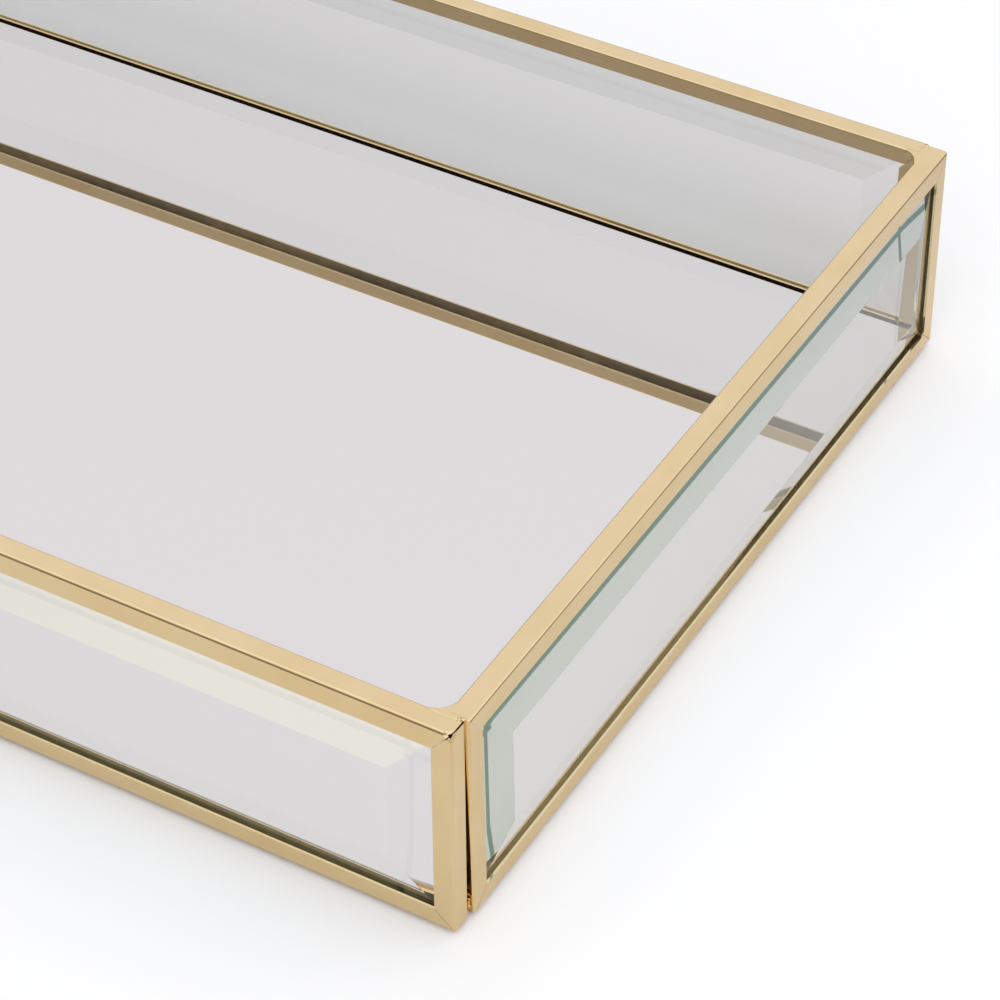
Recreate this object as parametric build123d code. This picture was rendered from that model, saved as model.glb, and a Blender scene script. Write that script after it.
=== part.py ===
from build123d import *
import os

os.makedirs("parts", exist_ok=True)

# A rectangular dresser tray: four bevelled glass panes, each wrapped in folded brass channel,
# stand around a mirror that lies on a board. Millimetres, +Z up, X along the long side.
# The origin is on the surface the tray stands on, at the middle of its footprint.

# Whole tray
tray_length = 305.0      # across the brass of the short walls
tray_width = 203.0       # across the brass of the long walls
wall_height = 50.0       # from the bottom of the brass to its top
floor_gap = 1.5          # the pads hold the brass this far above the table

# Folded brass channel that wraps every pane
channel_width = 4.6      # across the channel, which is the thickness of a wall
sheet = 0.5              # thickness of the folded brass
bend_radius = 0.45       # outside radius of the two folds
top_outer_lip = 4.9
top_inner_lip = 3.7
bottom_outer_lip = 4.1
bottom_inner_lip = 5.0
stile_lip = 4.4

# How the walls meet: each wall starts against the inner face of one neighbour, and runs on past
# the inner face of the other
end_setback = 0.8        # the end of a wall stops this far inside its neighbour's outer face
seam_opening = 1.2       # the upright seams gape by this much at the bottom

# Bevelled panes. Only their thin edges fit between the lips, so the full thickness in the middle
# stands proud of the channel outside.
pane_thickness = 5.0
pane_edge_thickness = 2.4
bevel_width = 12.7
pane_edge_clearance = 0.3

# Base: an angle strip along each wall carries a board, and the mirror lies on the board
ledge_height = 2.4
ledge_width = 5.0
board_thickness = 2.3
mirror_thickness = 2.0
mirror_arris = 0.25
base_clearance = 0.4     # from the upright leg of the ledge to the board and the mirror

# Round pads under the board
pad_radius = 5.0
pad_inset = 20.0         # from the inner faces of both walls to the middle of the pad
pad_rounding = 0.6

# Solder
fillet_radius = 3.0
fillet_depth = 1.0
bead_radius = 0.95
bead_height = 0.55
bead_rounding = 0.45
bead_setback = 0.25      # from the end of the wall that runs on to the middle of the bead
plug_height = 3.2
plug_setback = 0.6       # from the end of the wall that runs on to the plug

run_past = channel_width - end_setback
inside_half_length = tray_length / 2 - channel_width
inside_half_width = tray_width / 2 - channel_width
wall_top = floor_gap + wall_height
side_names = ["bottom_rail", "end_stile", "top_rail", "start_stile"]
outer_lips = [bottom_outer_lip, stile_lip, top_outer_lip, stile_lip]
inner_lips = [bottom_inner_lip, stile_lip, top_inner_lip, stile_lip]


def save(shape, name):
    export_step(shape, f"parts/{name}.step")


# A wall is drawn upright, seen from outside: corners run bottom left, bottom right, top right,
# top left, and side 0 is the bottom, 1 the right, 2 the top and 3 the left.
def inset_corners(corners, insets):
    inner = []
    for i, corner in enumerate(corners):
        before = (corner - corners[i - 1]).normalized()
        after = (corners[(i + 1) % 4] - corner).normalized()
        turn = before.X * after.Y - before.Y * after.X
        along_after = insets[i - 1] / turn
        along_before = insets[i] / turn
        inner.append(corner + after * along_after - before * along_before)
    return inner


# A flat plate in the wall, whose front lies a distance behind the wall's outer face.
def plate(corners, behind, thickness):
    outline = Polygon(*[(c.X, c.Y) for c in corners], align=None)
    return extrude(Plane.XZ.offset(-behind) * outline, amount=-thickness)


# One mitred length of folded channel: a web between two lips, each lip as wide as its side needs.
def channel_strip(outline, side):
    following = (side + 1) % 4

    def band(insets):
        opening = inset_corners(outline, insets)
        return [outline[side], outline[following], opening[following], opening[side]]

    web = plate(band([sheet] * 4), sheet, channel_width - 2 * sheet)
    outer_lip = plate(band(outer_lips), 0, sheet)
    inner_lip = plate(band(inner_lips), channel_width - sheet, sheet)
    strip = web + outer_lip + inner_lip
    middle = (outline[side] + outline[following]) / 2
    folds = []
    for depth in (0, channel_width):
        folds += strip.edges().sort_by_distance((middle.X, depth, middle.Y))[:1]
    return fillet(folds, bend_radius)


# A pane with a wide flat bevel along all four edges of its outer face.
def bevelled_pane(outline):
    back = channel_width - sheet
    edge = inset_corners(outline, [sheet + pane_edge_clearance] * 4)
    field = inset_corners(edge, [bevel_width] * 4)
    edge_face = Plane.XZ.offset(pane_edge_thickness - back) * Polygon(*[(c.X, c.Y) for c in edge], align=None)
    field_face = Plane.XZ.offset(pane_thickness - back) * Polygon(*[(c.X, c.Y) for c in field], align=None)
    rim = plate(edge, back - pane_edge_thickness, pane_edge_thickness)
    return rim + loft([edge_face.face(), field_face.face()])


# The five pieces of a wall, with its outer face in the plane y = 0 and the tray behind it. Its
# start is cut back at the bottom, so that the seam there opens downwards.
def wall_pieces(length):
    outline = [
        Vector(-length / 2 + seam_opening, 0),
        Vector(length / 2, 0),
        Vector(length / 2, wall_height),
        Vector(-length / 2, wall_height),
    ]
    pieces = {side_names[side]: channel_strip(outline, side) for side in range(4)}
    pieces["glass"] = bevelled_pane(outline)
    return pieces


def make_walls():
    long_wall = wall_pieces(2 * inside_half_length + run_past)
    short_wall = wall_pieces(2 * inside_half_width + run_past)
    walls = [
        ("front", long_wall, tray_width / 2, 0, "left", "right"),
        ("right", short_wall, tray_length / 2, 90, "front", "back"),
        ("back", long_wall, tray_width / 2, 180, "right", "left"),
        ("left", short_wall, tray_length / 2, 270, "back", "front"),
    ]
    for wall, pieces, distance, turn, start, end in walls:
        place = Rot(0, 0, turn) * Pos(run_past / 2, -distance, floor_gap)
        for piece, shape in pieces.items():
            name = piece.replace("start", start).replace("end", end)
            save(place * shape, f"{wall}_{name}")


# A mitred brass angle along a wall's foot: its upright leg is soldered to the wall, and the
# board rests on its level leg.
def ledge_strip(length, distance, turn):
    foot = [
        (-length / 2, 0),
        (length / 2, 0),
        (length / 2 - ledge_width, ledge_width),
        (-length / 2 + ledge_width, ledge_width),
    ]
    leg = [
        (-length / 2, 0),
        (length / 2, 0),
        (length / 2 - sheet, sheet),
        (-length / 2 + sheet, sheet),
    ]
    strip = extrude(Polygon(*foot, align=None), amount=sheet)
    strip += extrude(Polygon(*leg, align=None), amount=ledge_height)
    return Rot(0, 0, turn) * Pos(0, -distance, floor_gap) * strip


def make_base():
    save(ledge_strip(2 * inside_half_length, inside_half_width, 0), "front_ledge")
    save(ledge_strip(2 * inside_half_width, inside_half_length, 90), "right_ledge")
    save(ledge_strip(2 * inside_half_length, inside_half_width, 180), "back_ledge")
    save(ledge_strip(2 * inside_half_width, inside_half_length, 270), "left_ledge")

    base_length = 2 * (inside_half_length - sheet - base_clearance)
    base_width = 2 * (inside_half_width - sheet - base_clearance)
    board_bottom = floor_gap + sheet
    board = Box(base_length, base_width, board_thickness, align=(Align.CENTER, Align.CENTER, Align.MIN))
    save(Pos(0, 0, board_bottom) * board, "base_board")
    mirror = Box(base_length, base_width, mirror_thickness, align=(Align.CENTER, Align.CENTER, Align.MIN))
    mirror = chamfer(mirror.faces().sort_by(Axis.Z)[-1].edges(), mirror_arris)
    save(Pos(0, 0, board_bottom + board_thickness) * mirror, "mirror")

    pad_height = board_bottom
    pad = Cylinder(pad_radius, pad_height, align=(Align.CENTER, Align.CENTER, Align.MIN))
    pad = fillet(pad.faces().sort_by(Axis.Z)[0].edges(), pad_rounding)
    for end, x in (("left", -1), ("right", 1)):
        for face, y in (("front", -1), ("back", 1)):
            place = Pos(x * (inside_half_length - pad_inset), y * (inside_half_width - pad_inset), 0)
            save(place * pad, f"pad_{face}_{end}")


# Solder at one corner, with the corner of the two inner faces at the origin of the plan. The wall
# that runs on lies on the -y side and ends on the +x side.
def corner_solder():
    patch = Rectangle(fillet_radius, fillet_radius, align=(Align.MAX, Align.MIN))
    patch -= Pos(-fillet_radius, fillet_radius) * Circle(fillet_radius)
    fillet_solder = extrude(Pos(0, 0, wall_top - fillet_depth) * patch, amount=fillet_depth)

    bead = Cylinder(bead_radius, bead_height, align=(Align.CENTER, Align.CENTER, Align.MIN))
    bead = fillet(bead.faces().sort_by(Axis.Z)[-1].edges(), bead_rounding)
    bead = Pos(run_past - bead_setback, 0, wall_top) * bead

    gap_at_plug_top = seam_opening * (1 - plug_height / wall_height)
    wedge = Polygon((0, 0), (seam_opening, 0), (gap_at_plug_top, plug_height), (0, plug_height), align=None)
    plug = extrude(Plane.YZ * wedge, amount=run_past - plug_setback - sheet)
    plug = Pos(sheet, 0, floor_gap) * plug
    return {"solder_fillet": fillet_solder, "solder_bead": bead, "solder_plug": plug}


def make_solder():
    corners = [
        ("front_right", inside_half_length, -inside_half_width, 0),
        ("back_right", inside_half_length, inside_half_width, 90),
        ("back_left", -inside_half_length, inside_half_width, 180),
        ("front_left", -inside_half_length, -inside_half_width, 270),
    ]
    for piece, shape in corner_solder().items():
        for corner, x, y, turn in corners:
            save(Pos(x, y, 0) * Rot(0, 0, turn) * shape, f"{piece}_{corner}")


make_walls()
make_base()
make_solder()
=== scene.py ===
import math
import bpy
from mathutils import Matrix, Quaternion, Vector


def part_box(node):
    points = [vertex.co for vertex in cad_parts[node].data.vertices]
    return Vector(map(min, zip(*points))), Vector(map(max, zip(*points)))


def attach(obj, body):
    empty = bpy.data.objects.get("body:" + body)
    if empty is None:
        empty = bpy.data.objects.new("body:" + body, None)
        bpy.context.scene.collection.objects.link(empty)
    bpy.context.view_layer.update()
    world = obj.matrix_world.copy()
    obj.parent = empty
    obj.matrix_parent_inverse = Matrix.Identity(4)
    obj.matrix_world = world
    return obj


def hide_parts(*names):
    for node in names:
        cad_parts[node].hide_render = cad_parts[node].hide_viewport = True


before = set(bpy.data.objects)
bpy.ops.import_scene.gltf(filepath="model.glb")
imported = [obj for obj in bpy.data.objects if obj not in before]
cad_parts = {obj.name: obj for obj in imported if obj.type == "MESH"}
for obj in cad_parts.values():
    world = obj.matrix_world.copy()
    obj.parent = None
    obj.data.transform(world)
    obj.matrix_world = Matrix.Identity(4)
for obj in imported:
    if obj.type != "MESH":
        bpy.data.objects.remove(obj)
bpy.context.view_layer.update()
scene = bpy.context.scene
bpy.ops.object.select_all(action='DESELECT')

mm = 0.001
tiny = 1e-6                   # m, how near counts as in the same place
mixFirst, mixSecond = 6, 7    # the two colour sockets of a Mix node


def toLinear(hexText):
    shades = [int(hexText[i:i + 2], 16) / 255 for i in (0, 2, 4)]
    return [s / 12.92 if s <= 0.04045 else ((s + 0.055) / 1.055) ** 2.4 for s in shades] + [1.0]


def addNode(tree, kind, sockets=None, **settings):
    new = tree.nodes.new(kind)
    for name, value in settings.items():
        setattr(new, name, value)
    for socket, value in (sockets or {}).items():
        if isinstance(value, bpy.types.NodeSocket):
            tree.links.new(value, new.inputs[socket])
        else:
            new.inputs[socket].default_value = value
    return new


def newMaterial(name):
    material = bpy.data.materials.new(name)
    material.use_nodes = True
    material.node_tree.nodes.clear()
    return material, material.node_tree


def activate(piece):
    if bpy.context.object and bpy.context.object.mode != 'OBJECT':
        bpy.ops.object.mode_set(mode='OBJECT')
    bpy.ops.object.select_all(action='DESELECT')
    piece.select_set(True)
    bpy.context.view_layer.objects.active = piece


# Selects faces by a test on their middle and normal, and leaves the piece in edit mode.
def pickFaces(piece, test):
    activate(piece)
    bpy.ops.object.mode_set(mode='EDIT')
    bpy.ops.mesh.select_mode(type='FACE')
    bpy.ops.mesh.select_all(action='DESELECT')
    bpy.ops.object.mode_set(mode='OBJECT')
    for face in piece.data.polygons:
        face.select = test(face.center, face.normal)
    bpy.ops.object.mode_set(mode='EDIT')


# The same for edges, by a test on their two ends.
def pickEdges(piece, test):
    activate(piece)
    bpy.ops.object.mode_set(mode='EDIT')
    bpy.ops.mesh.select_mode(type='EDGE')
    bpy.ops.mesh.select_all(action='DESELECT')
    bpy.ops.object.mode_set(mode='OBJECT')
    points = piece.data.vertices
    for edge in piece.data.edges:
        edge.select = test(points[edge.vertices[0]].co, points[edge.vertices[1]].co)
    bpy.ops.object.mode_set(mode='EDIT')


def addCube(name, low, high):
    low, high = Vector(low), Vector(high)
    bpy.ops.mesh.primitive_cube_add(size=1, location=(low + high) / 2)
    piece = bpy.context.object
    piece.name = name
    piece.scale = high - low
    bpy.ops.object.transform_apply(location=True, rotation=True, scale=True)
    return piece


def applyModifier(piece, kind, **settings):
    activate(piece)
    modifier = piece.modifiers.new(kind.title(), kind)
    for name, value in settings.items():
        setattr(modifier, name, value)
    bpy.ops.object.modifier_apply(modifier=modifier.name)


def placePiece(piece, location=(0, 0, 0), turn=(0, 0, 0)):
    activate(piece)
    piece.location = location
    piece.rotation_euler = turn
    bpy.ops.object.transform_apply(location=True, rotation=True, scale=True)


def copyPiece(piece, name):
    twin = piece.copy()
    twin.data = piece.data.copy()
    twin.name = name
    scene.collection.objects.link(twin)
    return twin


def finishPiece(piece, slot, *nodes):
    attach(piece, "root")
    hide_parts(*nodes)


camera = {
    "lens": 132.46,            # mm
    "sensor": 36,              # mm, across
    "nearClip": 0.01,          # m
    "azimuth": 30.37,          # degrees, from straight in front towards the right end
    "elevation": 40.72,        # degrees
    "roll": -0.34,             # degrees
    "target": (0.1117, -0.0162, 0.025),      # m
    "distance": 0.7274,        # m, from the target
}
azimuth, elevation = math.radians(camera["azimuth"]), math.radians(camera["elevation"])
back = Vector((math.sin(azimuth) * math.cos(elevation),
               -math.cos(azimuth) * math.cos(elevation),
               math.sin(elevation)))
bpy.ops.object.camera_add(location=Vector(camera["target"]) + back * camera["distance"])
cameraObject = bpy.context.object
cameraObject.rotation_mode = 'QUATERNION'
aim = (-back).to_track_quat('-Z', 'Y')
cameraObject.rotation_quaternion = aim @ Quaternion((0, 0, 1), math.radians(camera["roll"]))
cameraObject.data.lens = camera["lens"]
cameraObject.data.sensor_width = camera["sensor"]
cameraObject.data.clip_start = camera["nearClip"]
scene.camera = cameraObject
print("camera set")


studio = {
    "floorSize": 6.0,            # m
    "floorColor": "FBFCFF",      # the paper as it is seen, nearly burnt out
    "frontPaintedLight": "DAD7D1",    # painted light: the paper's lit tone in front of the tray, as glass and brass pick it up
    "backPaintedLight": "E0DDDF",     # painted light: the paper's tone behind it
    "farPaintedShade": "807E7C",      # painted shade: the paper darker further out
    "frontWay": (0.5, -0.86, 0.0),
    "frontToBack": (0.08, -0.08),      # m along the front way, where the paper's painted tones change over
    "nearToFar": (0.2, 0.42),    # m, from the middle of the tray, between which the painted shade further out comes in
    # the room's brightness in three parts: the way each lies, then its greys by height, where a
    # height is the sine of the elevation
    "room": (None, [(0.0, "6C6A68"), (0.08, "8E8C8A"), (0.2, "BEBCBA"), (0.45, "FFFFFF"), (1.0, "FFFFFF")]),
    "backWall": ((-0.5, 0.86, 0.0), [
        (0.0, "6C6A68"), (0.3, "DCDADA"), (0.53, "E9E7E8"), (0.66, "EAE8E9"), (0.775, "ECEAEB"),
        (0.8, "F8F5EA"), (1.0, "FFFFFF")]),
    "darkEnd": ((-0.5, -0.86, 0.0), [
        (0.0, "666360"), (0.3, "84817C"), (0.6, "A6A39E"), (0.75, "C6C4C0"),
        (0.85, "FFFFFF"), (1.0, "FFFFFF")]),
    "partEdge": (0.2, 0.5),      # how far from its way a part gives over to the next
    "strength": 1.0,
    "softboxSize": 2.5,          # m
    "softboxPlace": (1.0, -1.6, 1.8),      # m
    "softboxPower": 33,          # W
}


def makeFloor():
    bpy.ops.mesh.primitive_grid_add(x_subdivisions=8, y_subdivisions=8, size=studio["floorSize"])
    floor = bpy.context.object
    floor.name = "floor"
    material, tree = newMaterial("matt white sweep paper")
    place = addNode(tree, 'ShaderNodeTexCoord')
    forward = addNode(tree, 'ShaderNodeVectorMath', {
        0: place.outputs['Object'], 1: studio["frontWay"]}, operation='DOT_PRODUCT')
    front, behind = studio["frontToBack"]
    turned = addNode(tree, 'ShaderNodeMapRange', {
        'Value': forward.outputs['Value'], 'From Min': front, 'From Max': behind})
    # Painted light and shade: the paper that glass and brass pick up gets a lit tone in front, its own tone
    # behind and is painted darker further out; the camera sees it plain white.
    paintedNearLight = addNode(tree, 'ShaderNodeMix', {
        0: turned.outputs[0], mixFirst: toLinear(studio["frontPaintedLight"]),
        mixSecond: toLinear(studio["backPaintedLight"])
    }, data_type='RGBA')
    outward = addNode(tree, 'ShaderNodeVectorMath', {0: place.outputs['Object']}, operation='LENGTH')
    near, far = studio["nearToFar"]
    distance = addNode(tree, 'ShaderNodeMapRange', {
        'Value': outward.outputs['Value'], 'From Min': near, 'From Max': far})
    tone = addNode(tree, 'ShaderNodeMix', {
        0: distance.outputs[0], mixFirst: paintedNearLight.outputs[2],
        mixSecond: toLinear(studio["farPaintedShade"])
    }, data_type='RGBA')
    ray = addNode(tree, 'ShaderNodeLightPath')
    seen = addNode(tree, 'ShaderNodeBsdfDiffuse', {'Color': toLinear(studio["floorColor"])})
    paperWithPaintedLight = addNode(tree, 'ShaderNodeBsdfDiffuse', {'Color': tone.outputs[2]})
    mixed = addNode(tree, 'ShaderNodeMixShader', {
        0: ray.outputs['Is Camera Ray'], 1: paperWithPaintedLight.outputs[0], 2: seen.outputs[0]})
    addNode(tree, 'ShaderNodeOutputMaterial', {'Surface': mixed.outputs[0]})
    floor.data.materials.append(material)


# The room shows in the tray only. Seen directly it is as white as the paper, with no dark horizon.
def makeSky():
    world = bpy.data.worlds.new("white studio")
    scene.world = world
    world.use_nodes = True
    tree = world.node_tree
    tree.nodes.clear()
    place = addNode(tree, 'ShaderNodeTexCoord')
    height = addNode(tree, 'ShaderNodeSeparateXYZ', {0: place.outputs['Generated']})
    edgeStart, edgeEnd = studio["partEdge"]
    tone = None
    for way, greys in (studio["room"], studio["backWall"], studio["darkEnd"]):
        ramp = addNode(tree, 'ShaderNodeValToRGB', {0: height.outputs['Z']})
        steps = ramp.color_ramp.elements
        while len(steps) < len(greys):
            steps.new(1.0)
        for step, (position, grey) in zip(steps, greys):
            step.position = position
            step.color = toLinear(grey)
        if way is None:
            tone = ramp.outputs[0]
            continue
        facing = addNode(tree, 'ShaderNodeVectorMath', {
            0: place.outputs['Generated'], 1: way}, operation='DOT_PRODUCT')
        share = addNode(tree, 'ShaderNodeMapRange', {
            'Value': facing.outputs['Value'], 'From Min': edgeStart, 'From Max': edgeEnd},
            interpolation_type='SMOOTHSTEP')
        tone = addNode(tree, 'ShaderNodeMix', {
            0: share.outputs[0], mixFirst: tone,
            mixSecond: ramp.outputs[0]}, data_type='RGBA').outputs[2]
    ray = addNode(tree, 'ShaderNodeLightPath')
    seen = addNode(tree, 'ShaderNodeMix', {
        0: ray.outputs['Is Camera Ray'], mixFirst: tone,
        mixSecond: toLinear(studio["floorColor"])}, data_type='RGBA')
    glow = addNode(tree, 'ShaderNodeBackground', {'Color': seen.outputs[2], 'Strength': studio["strength"]})
    addNode(tree, 'ShaderNodeOutputWorld', {'Surface': glow.outputs[0]})


def makeSoftbox():
    place = Vector(studio["softboxPlace"])
    bpy.ops.object.light_add(type='AREA', location=place)
    softbox = bpy.context.object
    softbox.data.shape = 'SQUARE'
    softbox.data.size = studio["softboxSize"]
    softbox.data.energy = studio["softboxPower"]
    softbox.visible_glossy = False      # it would burn out the folds of the brass
    softbox.visible_transmission = False      # and stand as a white patch behind the glass
    softbox.rotation_mode = 'QUATERNION'
    softbox.rotation_quaternion = (-place).to_track_quat('-Z', 'Y')


makeFloor()
makeSky()
makeSoftbox()
scene.view_settings.view_transform = 'Standard'
print("studio set")


brassLook = {
    "color": "F9E1B5",
    "warmColor": "F3D9A8",      # where the lacquer has yellowed
    "warmPart": (0.4, 0.75),    # of the patch noise, from none of the warm colour to all of it
    "rough": (0.09, 0.17),
    "roughPart": (0.3, 0.7),    # of the grain noise, from the smoothest to the roughest
    "patchSize": 14,            # mm, across a patch of older lacquer
    "grainWidth": 0.25,         # mm, rolling lines, drawn coarser than the real 0.05 mm so they show
    "grainLength": 40,          # mm
    "grainDepth": 0.006,        # mm
    "waveSize": 16,             # mm, hand-worked unevenness
    "waveDepth": 0.04,          # mm
    "insideDark": "B89A68",     # the bare inside of the channel
    "insidePale": "EBD2A2",
    "insideMetal": 0.2,         # most of it is under flux
    "insideRough": 0.5,
    "stainSize": 3,             # mm
}


# Rolled brass strip under clear lacquer: a soft, pale gold mirror with faint lines along the strip.
def makeBrass(name, runAxis):
    material, tree = newMaterial(name)
    place = addNode(tree, 'ShaderNodeTexCoord')
    across = 1 / (brassLook["grainWidth"] * mm)
    along = 1 / (brassLook["grainLength"] * mm)
    scale = [along if axis == runAxis else across for axis in range(3)]
    stretched = addNode(tree, 'ShaderNodeMapping', {'Vector': place.outputs['Object'], 'Scale': scale})
    grain = addNode(tree, 'ShaderNodeTexNoise', {
        'Vector': stretched.outputs[0], 'Scale': 1.0, 'Detail': 2.0})
    patches = addNode(tree, 'ShaderNodeTexNoise', {
        'Vector': place.outputs['Object'], 'Scale': 1 / (brassLook["patchSize"] * mm), 'Detail': 3.0})
    waves = addNode(tree, 'ShaderNodeTexNoise', {
        'Vector': place.outputs['Object'], 'Scale': 1 / (brassLook["waveSize"] * mm), 'Detail': 1.0})
    aged = addNode(tree, 'ShaderNodeMapRange', {
        'Value': patches.outputs[0], 'From Min': brassLook["warmPart"][0],
        'From Max': brassLook["warmPart"][1]})
    color = addNode(tree, 'ShaderNodeMix', {
        0: aged.outputs[0], mixFirst: toLinear(brassLook["color"]),
        mixSecond: toLinear(brassLook["warmColor"])
    }, data_type='RGBA')
    rough = addNode(tree, 'ShaderNodeMapRange', {
        'Value': grain.outputs[0], 'From Min': brassLook["roughPart"][0],
        'From Max': brassLook["roughPart"][1],
        'To Min': brassLook["rough"][0], 'To Max': brassLook["rough"][1]})
    waveBump = addNode(tree, 'ShaderNodeBump', {
        'Height': waves.outputs[0], 'Distance': brassLook["waveDepth"] * mm, 'Strength': 1.0})
    grainBump = addNode(tree, 'ShaderNodeBump', {
        'Height': grain.outputs[0], 'Distance': brassLook["grainDepth"] * mm, 'Strength': 1.0,
        'Normal': waveBump.outputs[0]})
    shader = addNode(tree, 'ShaderNodeBsdfPrincipled', {
        'Base Color': color.outputs[2], 'Metallic': 1.0, 'Roughness': rough.outputs[0],
        'Normal': grainBump.outputs[0]})
    addNode(tree, 'ShaderNodeOutputMaterial', {'Surface': shader.outputs[0]})
    return material


# Inside of the channel, never plated or polished: dull brown brass with flux stains.
def makeDullBrass():
    material, tree = newMaterial("bare brass, stained with flux")
    place = addNode(tree, 'ShaderNodeTexCoord')
    stains = addNode(tree, 'ShaderNodeTexNoise', {
        'Vector': place.outputs['Object'], 'Scale': 1 / (brassLook["stainSize"] * mm), 'Detail': 4.0})
    color = addNode(tree, 'ShaderNodeMix', {
        0: stains.outputs[0], mixFirst: toLinear(brassLook["insideDark"]),
        mixSecond: toLinear(brassLook["insidePale"])
    }, data_type='RGBA')
    shader = addNode(tree, 'ShaderNodeBsdfPrincipled', {
        'Base Color': color.outputs[2], 'Metallic': brassLook["insideMetal"],
        'Roughness': brassLook["insideRough"]})
    addNode(tree, 'ShaderNodeOutputMaterial', {'Surface': shader.outputs[0]})
    return material


brassAlong = [makeBrass(f"rolled brass, lines along {axis}", i) for i, axis in enumerate("XYZ")]
dullBrass = makeDullBrass()


glassLook = {
    "tint": "FDFEFE",          # clear float glass keeps a trace of green
    "longWay": "E2EBEB",       # light caught inside a pane, and light from a lamp
    "edgePaintedShade": "7F9C92",       # painted shade: light caught close to the edge of a pane, darkened to stand in for the shaded channel seen by reflection inside the glass
    "topPaintedShade": (12.95, 0.7),   # mm, how far from a wall's top the painted shade line lies, and half its width
    "endPaintedShade": (11.8, 0.5),    # mm, the same from its ends
    "edgeBlur": 0.25,          # mm
    "ior": 1.52,
    "groundDark": "8A9C91",    # the ground edge that the channel hides
    "groundPale": "A3B2A8",
    "groundRough": 0.6,
    "gritSize": 0.15,          # mm
}


# Polished float glass: clear, sharp reflections, faint green where light crosses much of it. Light
# that is reflected inside a pane leaves it at the next face, so that the bevels don't turn black, and
# is painted darker in a line along the top and, leaning as the open seams do, along the ends: painted shade
# for the shaded channel seen inside the glass.
def makeGlass(wall, runAxis):
    material, tree = newMaterial(f"polished float glass, {wall}")
    ray = addNode(tree, 'ShaderNodeLightPath')
    shader = addNode(tree, 'ShaderNodeBsdfPrincipled', {
        'Base Color': toLinear(glassLook["tint"]), 'Roughness': 0.0, 'IOR': glassLook["ior"],
        'Transmission Weight': 1.0})
    place = addNode(tree, 'ShaderNodeTexCoord')
    parts = addNode(tree, 'ShaderNodeSeparateXYZ', {0: place.outputs['Object']})
    offMiddle = addNode(tree, 'ShaderNodeMath', {0: parts.outputs[runAxis]}, operation='ABSOLUTE')
    low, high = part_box(f"{wall}_top_rail")
    footLow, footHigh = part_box(f"{wall}_bottom_rail")
    seamOpening = high[runAxis] - low[runAxis] - footHigh[runAxis] + footLow[runAxis]
    slant = seamOpening / (high[2] - footLow[2])
    upright = addNode(tree, 'ShaderNodeMath', {
        0: parts.outputs['Z'], 1: -slant, 2: offMiddle.outputs[0]}, operation='MULTIPLY_ADD')
    wallEnd = -low[1] if wall == "right" else high[0]      # at the front right corner
    edges = []
    # painted shade: a darker line at a set distance from the wall's top and from its end
    for distance, end, (inwards, halfWidth) in (
            (parts.outputs['Z'], high[2], glassLook["topPaintedShade"]),
            (upright.outputs[0], wallEnd - slant * high[2], glassLook["endPaintedShade"])):
        beside = addNode(tree, 'ShaderNodeMath', {0: distance, 1: end - inwards * mm}, operation='SUBTRACT')
        away = addNode(tree, 'ShaderNodeMath', {0: beside.outputs[0]}, operation='ABSOLUTE')
        edges.append(addNode(tree, 'ShaderNodeMapRange', {
            'Value': away.outputs[0], 'From Min': (halfWidth + glassLook["edgeBlur"]) * mm,
            'From Max': halfWidth * mm}))
    paintedShadeMask = addNode(tree, 'ShaderNodeMath', {
        0: edges[0].outputs[0], 1: edges[1].outputs[0]}, operation='MAXIMUM')
    tintAndPaintedShade = addNode(tree, 'ShaderNodeMix', {
        0: paintedShadeMask.outputs[0], mixFirst: toLinear(glassLook["longWay"]),
        mixSecond: toLinear(glassLook["edgePaintedShade"])
    }, data_type='RGBA')
    clear = addNode(tree, 'ShaderNodeBsdfTransparent', {'Color': tintAndPaintedShade.outputs[2]})
    side = addNode(tree, 'ShaderNodeNewGeometry')
    trapped = addNode(tree, 'ShaderNodeMath', {
        0: ray.outputs['Is Reflection Ray'], 1: side.outputs['Backfacing']}, operation='MULTIPLY')
    letOut = addNode(tree, 'ShaderNodeMath', {
        0: ray.outputs['Is Shadow Ray'], 1: trapped.outputs[0]}, operation='MAXIMUM')
    mixed = addNode(tree, 'ShaderNodeMixShader', {
        0: letOut.outputs[0], 1: shader.outputs[0], 2: clear.outputs[0]})
    addNode(tree, 'ShaderNodeOutputMaterial', {'Surface': mixed.outputs[0]})
    return material


paneGlass = [makeGlass("front", 0), makeGlass("right", 1)]


# Ground edge of a pane, hidden in the channel but seen through its bevels: dull, grey green, gritty.
def makeGroundEdge():
    material, tree = newMaterial("ground glass edge")
    place = addNode(tree, 'ShaderNodeTexCoord')
    grit = addNode(tree, 'ShaderNodeTexNoise', {
        'Vector': place.outputs['Object'], 'Scale': 1 / (glassLook["gritSize"] * mm), 'Detail': 2.0})
    color = addNode(tree, 'ShaderNodeMix', {
        0: grit.outputs[0], mixFirst: toLinear(glassLook["groundDark"]),
        mixSecond: toLinear(glassLook["groundPale"])
    }, data_type='RGBA')
    shader = addNode(tree, 'ShaderNodeBsdfPrincipled', {
        'Base Color': color.outputs[2], 'Roughness': glassLook["groundRough"], 'IOR': glassLook["ior"]})
    addNode(tree, 'ShaderNodeOutputMaterial', {'Surface': shader.outputs[0]})
    return material


groundEdge = makeGroundEdge()


mirrorLook = {
    "silver": "F3F1F2",
    "rough": 0.03,
    "hazeSize": 16.7,          # mm, across a patch of haze
}


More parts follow.
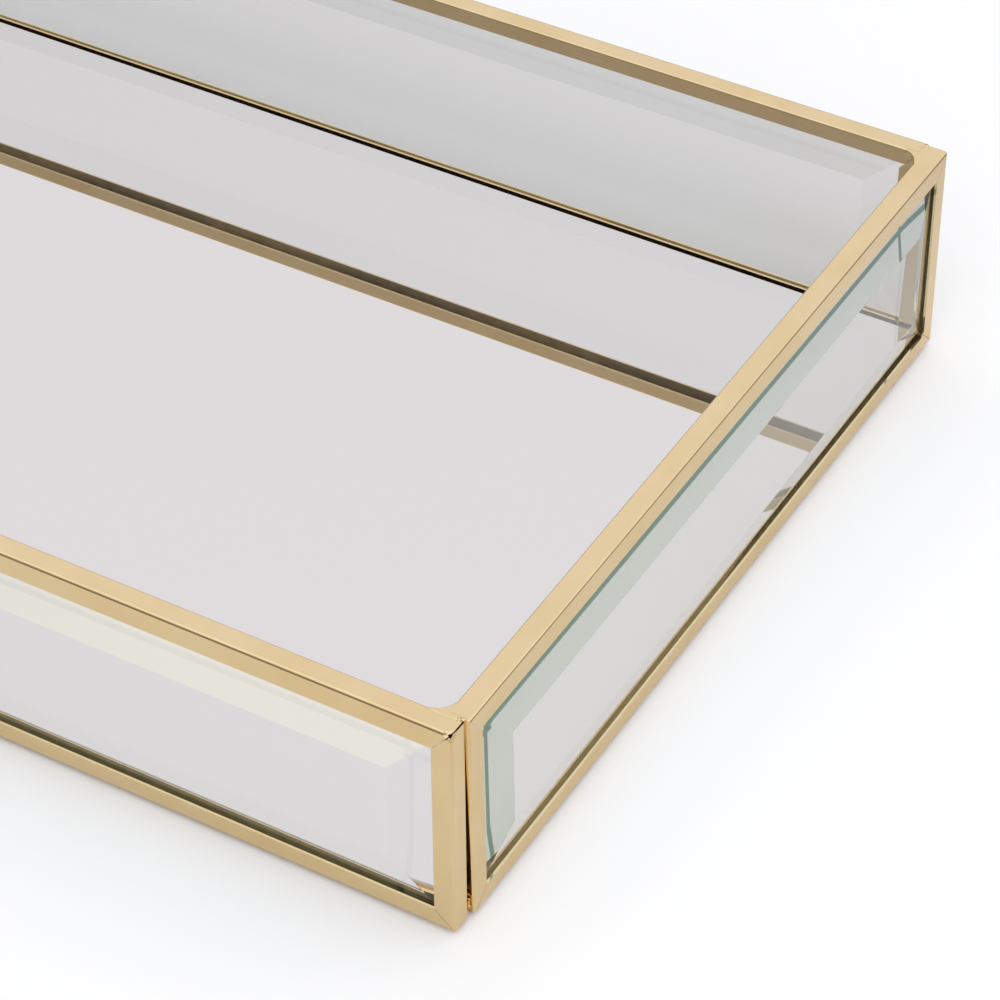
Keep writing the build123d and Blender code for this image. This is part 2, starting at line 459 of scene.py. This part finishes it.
# Silvered plate glass: a bright, almost neutral reflection.
def makeMirror():
    material, tree = newMaterial("silvered plate glass")
    place = addNode(tree, 'ShaderNodeTexCoord')
    haze = addNode(tree, 'ShaderNodeTexNoise', {
        'Vector': place.outputs['Object'], 'Scale': 1 / (mirrorLook["hazeSize"] * mm), 'Detail': 3.0})
    rough = addNode(tree, 'ShaderNodeMapRange', {
        'Value': haze.outputs[0], 'To Min': 0.0, 'To Max': mirrorLook["rough"]})
    shader = addNode(tree, 'ShaderNodeBsdfPrincipled', {
        'Base Color': toLinear(mirrorLook["silver"]), 'Metallic': 1.0, 'Roughness': rough.outputs[0]})
    addNode(tree, 'ShaderNodeOutputMaterial', {'Surface': shader.outputs[0]})
    return material


silvered = makeMirror()


solderLook = {
    "color": "F7DFB0",
    "rough": 0.16,
    "lumpSize": 1.6,           # mm
    "lumpDepth": 0.05,         # mm
}


# Solder, plated with the rest: a run metal skin, smooth and a little lumpy.
def makeSolder():
    material, tree = newMaterial("plated solder")
    place = addNode(tree, 'ShaderNodeTexCoord')
    lumps = addNode(tree, 'ShaderNodeTexNoise', {
        'Vector': place.outputs['Object'], 'Scale': 1 / (solderLook["lumpSize"] * mm), 'Detail': 2.0})
    bump = addNode(tree, 'ShaderNodeBump', {
        'Height': lumps.outputs[0], 'Distance': solderLook["lumpDepth"] * mm, 'Strength': 1.0})
    shader = addNode(tree, 'ShaderNodeBsdfPrincipled', {
        'Base Color': toLinear(solderLook["color"]), 'Metallic': 1.0, 'Roughness': solderLook["rough"],
        'Normal': bump.outputs[0]})
    addNode(tree, 'ShaderNodeOutputMaterial', {'Surface': shader.outputs[0]})
    return material


solderMetal = makeSolder()


boardLook = {
    "dark": ("4A3323", 0.3),   # colour, and where on the noise it ends
    "pale": ("7A5A40", 0.75),
    "fibreSize": 1.11,         # mm
    "fibreDepth": 0.1,         # mm
    "rough": 0.7,
}


# Tempered hardboard: matt brown, mottled with short fibres.
def makeBoard():
    material, tree = newMaterial("tempered hardboard")
    place = addNode(tree, 'ShaderNodeTexCoord')
    fibre = addNode(tree, 'ShaderNodeTexNoise', {
        'Vector': place.outputs['Object'], 'Scale': 1 / (boardLook["fibreSize"] * mm), 'Detail': 5.0})
    color = addNode(tree, 'ShaderNodeValToRGB', {0: fibre.outputs[0]})
    for step, (shade, position) in zip(color.color_ramp.elements, (boardLook["dark"], boardLook["pale"])):
        step.color = toLinear(shade)
        step.position = position
    bump = addNode(tree, 'ShaderNodeBump', {
        'Height': fibre.outputs[0], 'Distance': boardLook["fibreDepth"] * mm})
    shader = addNode(tree, 'ShaderNodeBsdfPrincipled', {
        'Base Color': color.outputs[0], 'Roughness': boardLook["rough"], 'Normal': bump.outputs[0]})
    addNode(tree, 'ShaderNodeOutputMaterial', {'Surface': shader.outputs[0]})
    return material


rubberLook = {
    "color": "C9CBC8",
    "rough": (0.35, 0.6),
    "hazeSize": 2,             # mm
    "depth": 2,                # mm, how far light goes into it
    "milky": 0.3,
    "ior": 1.41,
}


# Silicone rubber: milky grey, with a soft sheen.
def makeRubber():
    material, tree = newMaterial("clear silicone rubber")
    place = addNode(tree, 'ShaderNodeTexCoord')
    haze = addNode(tree, 'ShaderNodeTexNoise', {
        'Vector': place.outputs['Object'], 'Scale': 1 / (rubberLook["hazeSize"] * mm), 'Detail': 2.0})
    rough = addNode(tree, 'ShaderNodeMapRange', {
        'Value': haze.outputs[0], 'To Min': rubberLook["rough"][0], 'To Max': rubberLook["rough"][1]})
    shader = addNode(tree, 'ShaderNodeBsdfPrincipled', {
        'Base Color': toLinear(rubberLook["color"]), 'Roughness': rough.outputs[0],
        'IOR': rubberLook["ior"], 'Subsurface Weight': rubberLook["milky"],
        'Subsurface Scale': rubberLook["depth"] * mm})
    addNode(tree, 'ShaderNodeOutputMaterial', {'Surface': shader.outputs[0]})
    return material


hardboard = makeBoard()
rubber = makeRubber()
print("materials made")


channel = {
    "sheet": 0.5 * mm,
    "outerFold": 0.65 * mm,
    "innerFold": 0.45 * mm,
    "foldSegments": 8,
    "outerLips": (4.1 * mm, 4.4 * mm, 4.9 * mm, 4.4 * mm),     # bottom, end, top, start
    "innerLips": (5.0 * mm, 4.4 * mm, 3.7 * mm, 4.4 * mm),
    "edgeRound": 0.07 * mm,    # filed edges
    "edgeAngle": 50,           # degrees, what counts as an edge
    "smoothAngle": 35,         # degrees
    "spare": 2 * mm,           # of length at each end, to be cut off at the mitre
    "mitreGap": 0.04 * mm,     # each end stops this short of the mitre line
}
# The mitre at the front right, cut too deep: a dark chink along the wall's end and a hole at its tip
badMitre = {
    "chink": 0.35 * mm,
    "hole": 1.3 * mm,          # in from the tip
}
pane = {
    "clearance": 0.8 * mm,     # from the outside of the channel to the edge of the glass
    "edgeThickness": 2.4 * mm,
    "thickness": 5.0 * mm,
    "bevelWidth": 12.7 * mm,
    "arris": 0.12 * mm,
    "edgeAngle": 4,            # degrees, so that the edges of the bevels count
    "smoothAngle": 3,          # degrees
}


# A wall's outline in its own plane, seen from outside: bottom left, bottom right, top right, top left.
def wallOutline(topLength, seamOpening, height):
    half = topLength / 2
    return [Vector((-half + seamOpening, 0, 0)), Vector((half, 0, 0)),
            Vector((half, 0, height)), Vector((-half, 0, height))]


# The corners of the opening that the lips leave.
def insetCorners(corners, insets):
    inner = []
    for i, corner in enumerate(corners):
        before = (corner - corners[i - 1]).normalized()
        after = (corners[(i + 1) % 4] - corner).normalized()
        turn = before.x * after.z - before.z * after.x
        inner.append(corner + after * (insets[i - 1] / turn) - before * (insets[i] / turn))
    return inner


# Cuts a piece along a plane, takes away what lies on the normal's side and closes the cut.
def cutOff(piece, point, normal):
    activate(piece)
    bpy.ops.object.mode_set(mode='EDIT')
    bpy.ops.mesh.select_all(action='SELECT')
    bpy.ops.mesh.bisect(plane_co=point, plane_no=normal, use_fill=True, clear_outer=True)
    bpy.ops.object.mode_set(mode='OBJECT')


# One length of folded channel: a cube loses its open side, is folded, thickened and mitred.
def makeStrip(name, outline, side, depth):
    start, end = outline[side], outline[(side + 1) % 4]
    length = (end - start).length
    outerLip, innerLip = channel["outerLips"][side], channel["innerLips"][side]
    deepest = max(outerLip, innerLip)
    half = length / 2 + channel["spare"]
    strip = addCube(name, (-half, 0, 0), (half, depth, deepest))
    pickFaces(strip, lambda middle, normal: normal.z > 0.5 or abs(normal.x) > 0.5)
    bpy.ops.mesh.delete(type='FACE')
    for lip, test in ((outerLip, lambda y: y < depth / 2), (innerLip, lambda y: y > depth / 2)):
        pickEdges(strip, lambda a, b: a.z > deepest / 2 and b.z > deepest / 2 and test(a.y) and test(b.y))
        bpy.ops.transform.translate(value=(0, 0, lip - deepest))
    for radius, fold in ((channel["outerFold"], 0), (channel["innerFold"], depth)):
        pickEdges(strip, lambda a, b: max(abs(a.z), abs(b.z), abs(a.y - fold), abs(b.y - fold)) < tiny)
        bpy.ops.mesh.bevel(offset=radius, segments=channel["foldSegments"], affect='EDGES')
    bpy.ops.object.mode_set(mode='OBJECT')
    strip.data.materials.append(brassAlong[0])
    strip.data.materials.append(dullBrass)
    applyModifier(strip, 'SOLIDIFY', thickness=channel["sheet"], offset=-1, use_even_offset=True,
                  material_offset=1)

    along = (end - start).normalized()
    placePiece(strip, (start + end) / 2, (0, -math.atan2(along.z, along.x), 0))
    opening = insetCorners(outline, channel["outerLips"])
    for corner, inner, away in ((start, opening[side], -along), (end, opening[(side + 1) % 4], along)):
        cut = (inner - corner).normalized()
        normal = Vector((cut.z, 0, -cut.x))
        if normal.dot(away) < 0:
            normal = -normal
        cutOff(strip, corner - normal * channel["mitreGap"], normal)
    return strip


# Filed edges, and folds that turn into the flats without a break.
def fileStrip(strip):
    applyModifier(strip, 'BEVEL', width=channel["edgeRound"], segments=2, limit_method='ANGLE',
                  angle_limit=math.radians(channel["edgeAngle"]))
    bpy.ops.object.shade_smooth_by_angle(angle=math.radians(channel["smoothAngle"]))
    applyModifier(strip, 'WEIGHTED_NORMAL', keep_sharp=True)


# A bevelled pane: the outer face is inset and pushed out, and its edges are barely rounded.
def makePane(name, outline, depth):
    edge = insetCorners(outline, [pane["clearance"]] * 4)
    backFace = depth - channel["sheet"]
    edgeFace = backFace - pane["edgeThickness"]
    bottom, top = edge[0].z, edge[2].z
    glass = addCube(name, (edge[0].x, edgeFace, bottom), (edge[1].x, backFace, top))
    # the ends follow the outline, which is not quite square
    cornerAt = {(False, False): 0, (True, False): 1, (True, True): 2, (False, True): 3}
    for point in glass.data.vertices:
        corner = edge[cornerAt[point.co.x > 0, point.co.z > (bottom + top) / 2]]
        point.co.x, point.co.z = corner.x, corner.z
    pickFaces(glass, lambda middle, normal: normal.y < -0.5)
    bpy.ops.mesh.inset(thickness=pane["bevelWidth"], depth=0)
    bpy.ops.transform.translate(value=(0, pane["edgeThickness"] - pane["thickness"], 0))
    bpy.ops.object.mode_set(mode='OBJECT')
    applyModifier(glass, 'BEVEL', width=pane["arris"], segments=2, limit_method='ANGLE',
                  angle_limit=math.radians(pane["edgeAngle"]))
    bpy.ops.object.shade_smooth_by_angle(angle=math.radians(pane["smoothAngle"]))
    return glass


def makeWallKit(wall, runAxis):
    railLow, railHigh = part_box(f"{wall}_top_rail")
    footLow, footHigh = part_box(f"{wall}_bottom_rail")
    depthAxis = 1 - runAxis
    topLength = railHigh[runAxis] - railLow[runAxis]
    seamOpening = topLength - (footHigh[runAxis] - footLow[runAxis])
    depth = railHigh[depthAxis] - railLow[depthAxis]
    outline = wallOutline(topLength, seamOpening, railHigh[2] - footLow[2])
    pieces = [makeStrip(f"{wall}Strip{side}", outline, side, depth) for side in range(4)]
    return pieces + [makePane(f"{wall}Pane", outline, depth)]


# The one bad mitre: the rail is cut back along a slanted line, and the tips of both pieces are gone.
def openMitre(topRail, stile):
    low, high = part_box("front_top_rail")
    tip = Vector((high[0], low[1], high[2]))
    inner = tip - Vector((channel["outerLips"][1], 0, channel["outerLips"][2]))
    slanted = (tip - Vector((badMitre["chink"], 0, 0)) - inner).normalized()
    cutOff(topRail, inner, Vector((slanted.z, 0, -slanted.x)))
    corner = Vector((1, -1, 1)).normalized()
    for piece in (topRail, stile):
        cutOff(piece, tip - corner * badMitre["hole"], corner)


def makeWalls():
    kits = {0: makeWallKit("front", 0), 1: makeWallKit("right", 1)}
    walls = [("front", 0, 0, "left", "right"), ("right", 1, 90, "front", "back"),
             ("back", 0, 180, "right", "left"), ("left", 1, 270, "back", "front")]
    made, strips = {}, []
    for wall, runAxis, turn, startSide, endSide in walls:
        low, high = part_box(f"{wall}_top_rail")
        middle = [(low[i] + high[i]) / 2 for i in range(3)]
        faceAxis = 1 - runAxis
        middle[faceAxis] = low[faceAxis] if wall in ("front", "left") else high[faceAxis]
        middle[2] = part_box(f"{wall}_bottom_rail")[0][2]
        nodes = ["bottom_rail", f"{endSide}_stile", "top_rail", f"{startSide}_stile", "glass"]
        for model, node in zip(kits[runAxis], nodes):
            piece = copyPiece(model, f"{wall}_{node}_made")
            placePiece(piece, middle, (0, 0, math.radians(turn)))
            made[f"{wall}_{node}"] = piece
            if node == "glass":
                finishPiece(piece, "pane_glass", f"{wall}_{node}")
                piece.data.materials.append(paneGlass[runAxis])
                piece.data.materials.append(groundEdge)
                for face in piece.data.polygons:
                    face.material_index = int(abs(face.normal[faceAxis]) < 0.5)
            else:
                run = 2 if node.endswith("stile") else runAxis
                piece.data.materials[0] = brassAlong[run]
                finishPiece(piece, "brass_channel", f"{wall}_{node}")
                strips.append(piece)
    openMitre(made["front_top_rail"], made["front_right_stile"])
    for strip in strips:
        fileStrip(strip)
    for kit in kits.values():
        for model in kit:
            bpy.data.objects.remove(model)


makeWalls()
print("walls made")


solder = {
    "webReach": 3.3 * mm,      # along both walls from the inner corner
    "webDepth": 1.0 * mm,
    "webOver": 0.7 * mm,       # onto the brass of both walls
    "webRise": 0.05 * mm,
    "webToe": 0.05 * mm,       # thickness left at both ends of the web
    "webHollow": 0.12,         # how far the web's curve sinks in, 0 is the most
    # lumps on the seam: middle, then half sizes, in mm from the inner corner, along the seam, across it
    # and up; the first is the low run that closes the seam
    "lumps": [((1.7, 0.0, 0.0), (2.1, 0.75, 0.09)), ((3.3, 0.05, 0.0), (0.5, 0.5, 0.35)),
              ((2.65, -0.25, 0.0), (0.32, 0.32, 0.22)), ((3.7, 0.35, 0.0), (0.28, 0.28, 0.2))],
    # the plug low in the open seam, up from its foot
    "plug": [((1.7, 0.6, 0.75), (1.6, 0.6, 0.7)), ((2.75, 0.55, 0.65), (0.6, 0.62, 0.55)),
             ((2.55, 0.5, 1.55), (0.55, 0.5, 0.55)), ((2.8, 0.4, 2.35), (0.35, 0.38, 0.4)),
             ((1.6, 0.5, 2.0), (1.2, 0.5, 1.0))],
    "grain": 0.1 * mm,         # voxel of the remesh that runs them together
    "smoothing": 0.5,
    "smoothingRounds": 5,
}


def joinPieces(pieces):
    activate(pieces[0])
    for piece in pieces:
        piece.select_set(True)
    bpy.ops.object.join()
    return bpy.context.object


# Lumps and any other pieces run together into one skin.
def runTogether(pieces, lumps):
    for middle, halfSizes in lumps:
        bpy.ops.mesh.primitive_uv_sphere_add(
            segments=32, ring_count=20, radius=mm, location=[v * mm for v in middle])
        lump = bpy.context.object
        lump.scale = halfSizes
        bpy.ops.object.transform_apply(location=True, rotation=True, scale=True)
        pieces.append(lump)
    run = joinPieces(pieces)
    applyModifier(run, 'REMESH', mode='VOXEL', voxel_size=solder["grain"], use_smooth_shade=True)
    applyModifier(run, 'SMOOTH', factor=solder["smoothing"], iterations=solder["smoothingRounds"])
    bpy.ops.object.shade_smooth()
    run.data.materials.append(solderMetal)
    return run


# Solder over one corner, with the inner corner of the walls at the origin and the wall that runs
# on below and to the right: a hollow web in the corner and lumps on the seam.
def makeCornerSolder():
    reach, over = solder["webReach"], solder["webOver"]
    web = addCube("cornerSolder", (-reach, -over, -solder["webDepth"]), (over, reach, solder["webRise"]))
    pickEdges(web, lambda a, b: all(
        abs(end.x + reach) < tiny and abs(end.y - reach) < tiny for end in (a, b)))
    bpy.ops.mesh.bevel(offset=reach - solder["webToe"], segments=16, profile=solder["webHollow"],
                       affect='EDGES')
    bpy.ops.object.mode_set(mode='OBJECT')
    return runTogether([web], solder["lumps"])


def makeSolderPieces():
    onTop = makeCornerSolder()
    inSeam = runTogether([], solder["plug"])
    corners = [("front_right", 0), ("back_right", 90), ("back_left", 180), ("front_left", 270)]
    for corner, turn in corners:
        low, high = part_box(f"solder_fillet_{corner}")
        x = high[0] if "right" in corner else low[0]
        y = low[1] if "front" in corner else high[1]
        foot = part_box(f"solder_plug_{corner}")[0][2]
        piece = copyPiece(onTop, f"solder_top_{corner}")
        placePiece(piece, (x, y, high[2]), (0, 0, math.radians(turn)))
        finishPiece(piece, "solder", f"solder_fillet_{corner}", f"solder_bead_{corner}")
        piece = copyPiece(inSeam, f"solder_seam_{corner}")
        placePiece(piece, (x, y, foot), (0, 0, math.radians(turn)))
        finishPiece(piece, "solder", f"solder_plug_{corner}")
    bpy.data.objects.remove(onTop)
    bpy.data.objects.remove(inSeam)


makeSolderPieces()
print("solder made")


# The base keeps its CAD shapes, in better materials.
def dressNode(node, material):
    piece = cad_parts[node]
    piece.data.materials.clear()
    piece.data.materials.append(material)


def makeBase():
    for wall, run in (("front", 0), ("right", 1), ("back", 0), ("left", 1)):
        dressNode(f"{wall}_ledge", brassAlong[run])
    dressNode("base_board", hardboard)
    dressNode("mirror", silvered)
    for face in ("front", "back"):
        for end in ("left", "right"):
            dressNode(f"pad_{face}_{end}", rubber)


makeBase()
print("base made")
